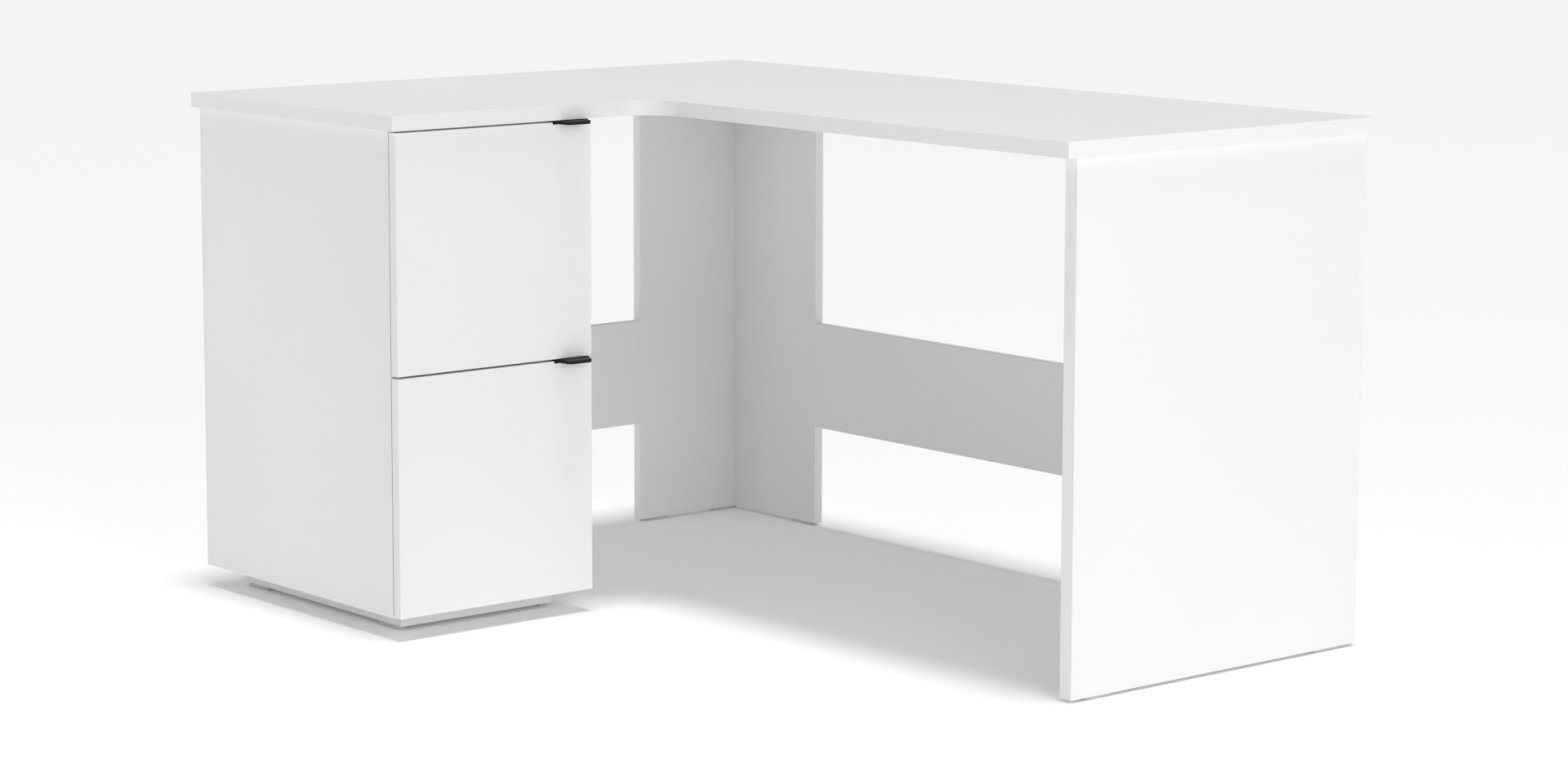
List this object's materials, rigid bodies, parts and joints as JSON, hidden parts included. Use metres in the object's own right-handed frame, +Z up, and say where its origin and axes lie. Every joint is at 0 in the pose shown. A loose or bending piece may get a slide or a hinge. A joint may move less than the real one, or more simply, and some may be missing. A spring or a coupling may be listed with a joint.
{
  "type": "corner desk",
  "caption": "L-shaped corner desk of white board, with a panel leg at the right end, corner panels with back stretchers, and a drawer cabinet with black tab pulls under the left wing.",
  "frame": {"origin": "middle of the desk's footprint, on the floor", "axes": "+X along the right wing, from the room's corner to the end panel, and the way the drawers open; +Y towards the wall behind the right wing; +Z up"},
  "size_m": [1.4, 1.056, 0.75],
  "materials": {
    "melamine_white": "white melamine, faint orange-peel texture, matching edge bands, semi-matt",
    "hardboard_white": "thin hardboard with a white printed face, satin",
    "handle_black": "black powder coat, satin",
    "runner_white": "white epoxy-coated rolled steel",
    "roller_nylon": "natural nylon, moulded",
    "glide_plastic": "pale grey polyethylene, matt",
    "bracket_zinc": "zinc-plated pressed steel"
  },
  "bodies": {
    "desk": {"worktop": "melamine_white", "end_panel": "melamine_white", "corner_panel_left": "melamine_white", "corner_panel_right": "melamine_white", "stretcher_left": "melamine_white", "stretcher_right": "melamine_white", "cabinet_side_left": "melamine_white", "cabinet_side_right": "melamine_white", "cabinet_bottom": "melamine_white", "cabinet_rail_front": "melamine_white", "cabinet_rail_rear": "melamine_white", "plinth_left": "melamine_white", "plinth_right": "melamine_white", "plinth_front": "melamine_white", "plinth_rear": "melamine_white", "cabinet_back": "hardboard_white", "glide_end_front": "glide_plastic", "glide_end_rear": "glide_plastic", "glide_corner_left": "glide_plastic", "glide_corner_back": "glide_plastic", "glide_corner_right": "glide_plastic", "glide_plinth_front_left": "glide_plastic", "glide_plinth_front_right": "glide_plastic", "glide_plinth_rear_left": "glide_plastic", "glide_plinth_rear_right": "glide_plastic", "bracket_end_front": "bracket_zinc", "bracket_end_rear": "bracket_zinc", "bracket_corner_left": "bracket_zinc", "bracket_corner_right": "bracket_zinc", "lower_drawer_cabinet_rail_left": "runner_white", "lower_drawer_cabinet_rail_right": "runner_white", "upper_drawer_cabinet_rail_left": "runner_white", "upper_drawer_cabinet_rail_right": "runner_white"},
    "lower_drawer": {"lower_drawer_front": "melamine_white", "lower_drawer_side_left": "melamine_white", "lower_drawer_side_right": "melamine_white", "lower_drawer_back": "melamine_white", "lower_drawer_bottom": "hardboard_white", "lower_drawer_handle": "handle_black", "lower_drawer_rail_left": "runner_white", "lower_drawer_rail_right": "runner_white"},
    "lower_drawer_cabinet_roller_left": {"lower_drawer_cabinet_roller_left": "roller_nylon"},
    "lower_drawer_roller_left": {"lower_drawer_roller_left": "roller_nylon"},
    "lower_drawer_cabinet_roller_right": {"lower_drawer_cabinet_roller_right": "roller_nylon"},
    "lower_drawer_roller_right": {"lower_drawer_roller_right": "roller_nylon"},
    "upper_drawer": {"upper_drawer_front": "melamine_white", "upper_drawer_side_left": "melamine_white", "upper_drawer_side_right": "melamine_white", "upper_drawer_back": "melamine_white", "upper_drawer_bottom": "hardboard_white", "upper_drawer_handle": "handle_black", "upper_drawer_rail_left": "runner_white", "upper_drawer_rail_right": "runner_white"},
    "upper_drawer_cabinet_roller_left": {"upper_drawer_cabinet_roller_left": "roller_nylon"},
    "upper_drawer_roller_left": {"upper_drawer_roller_left": "roller_nylon"},
    "upper_drawer_cabinet_roller_right": {"upper_drawer_cabinet_roller_right": "roller_nylon"},
    "upper_drawer_roller_right": {"upper_drawer_roller_right": "roller_nylon"}
  },
  "joints": [
    {"name": "lower_drawer_slide", "type": "slide", "parent": "desk", "child": "lower_drawer", "axis": [1, 0, 0], "range_m": [0, 0.34]},
    {"name": "lower_drawer_cabinet_roller_left_spin", "type": "hinge", "parent": "desk", "child": "lower_drawer_cabinet_roller_left", "pos_m": [-0.205, -0.498, 0.0751], "axis": [0, 1, 0], "continuous": true},
    {"name": "lower_drawer_roller_left_spin", "type": "hinge", "parent": "lower_drawer", "child": "lower_drawer_roller_left", "pos_m": [-0.629, -0.498, 0.07075], "axis": [0, 1, 0], "continuous": true},
    {"name": "lower_drawer_cabinet_roller_right_spin", "type": "hinge", "parent": "desk", "child": "lower_drawer_cabinet_roller_right", "pos_m": [-0.205, -0.199, 0.0751], "axis": [0, 1, 0], "continuous": true},
    {"name": "lower_drawer_roller_right_spin", "type": "hinge", "parent": "lower_drawer", "child": "lower_drawer_roller_right", "pos_m": [-0.629, -0.199, 0.07075], "axis": [0, 1, 0], "continuous": true},
    {"name": "upper_drawer_slide", "type": "slide", "parent": "desk", "child": "upper_drawer", "axis": [1, 0, 0], "range_m": [0, 0.34]},
    {"name": "upper_drawer_cabinet_roller_left_spin", "type": "hinge", "parent": "desk", "child": "upper_drawer_cabinet_roller_left", "pos_m": [-0.205, -0.498, 0.4226], "axis": [0, 1, 0], "continuous": true},
    {"name": "upper_drawer_roller_left_spin", "type": "hinge", "parent": "upper_drawer", "child": "upper_drawer_roller_left", "pos_m": [-0.629, -0.498, 0.41825], "axis": [0, 1, 0], "continuous": true},
    {"name": "upper_drawer_cabinet_roller_right_spin", "type": "hinge", "parent": "desk", "child": "upper_drawer_cabinet_roller_right", "pos_m": [-0.205, -0.199, 0.4226], "axis": [0, 1, 0], "continuous": true},
    {"name": "upper_drawer_roller_right_spin", "type": "hinge", "parent": "upper_drawer", "child": "upper_drawer_roller_right", "pos_m": [-0.629, -0.199, 0.41825], "axis": [0, 1, 0], "continuous": true}
  ],
  "couplings": [
    {"joint": "lower_drawer_cabinet_roller_left_spin", "follows": "lower_drawer_slide", "rad_per_m": 105.26},
    {"joint": "lower_drawer_roller_left_spin", "follows": "lower_drawer_slide", "rad_per_m": 105.26},
    {"joint": "lower_drawer_cabinet_roller_right_spin", "follows": "lower_drawer_slide", "rad_per_m": 105.26},
    {"joint": "lower_drawer_roller_right_spin", "follows": "lower_drawer_slide", "rad_per_m": 105.26},
    {"joint": "upper_drawer_cabinet_roller_left_spin", "follows": "upper_drawer_slide", "rad_per_m": 105.26},
    {"joint": "upper_drawer_roller_left_spin", "follows": "upper_drawer_slide", "rad_per_m": 105.26},
    {"joint": "upper_drawer_cabinet_roller_right_spin", "follows": "upper_drawer_slide", "rad_per_m": 105.26},
    {"joint": "upper_drawer_roller_right_spin", "follows": "upper_drawer_slide", "rad_per_m": 105.26}
  ]
}
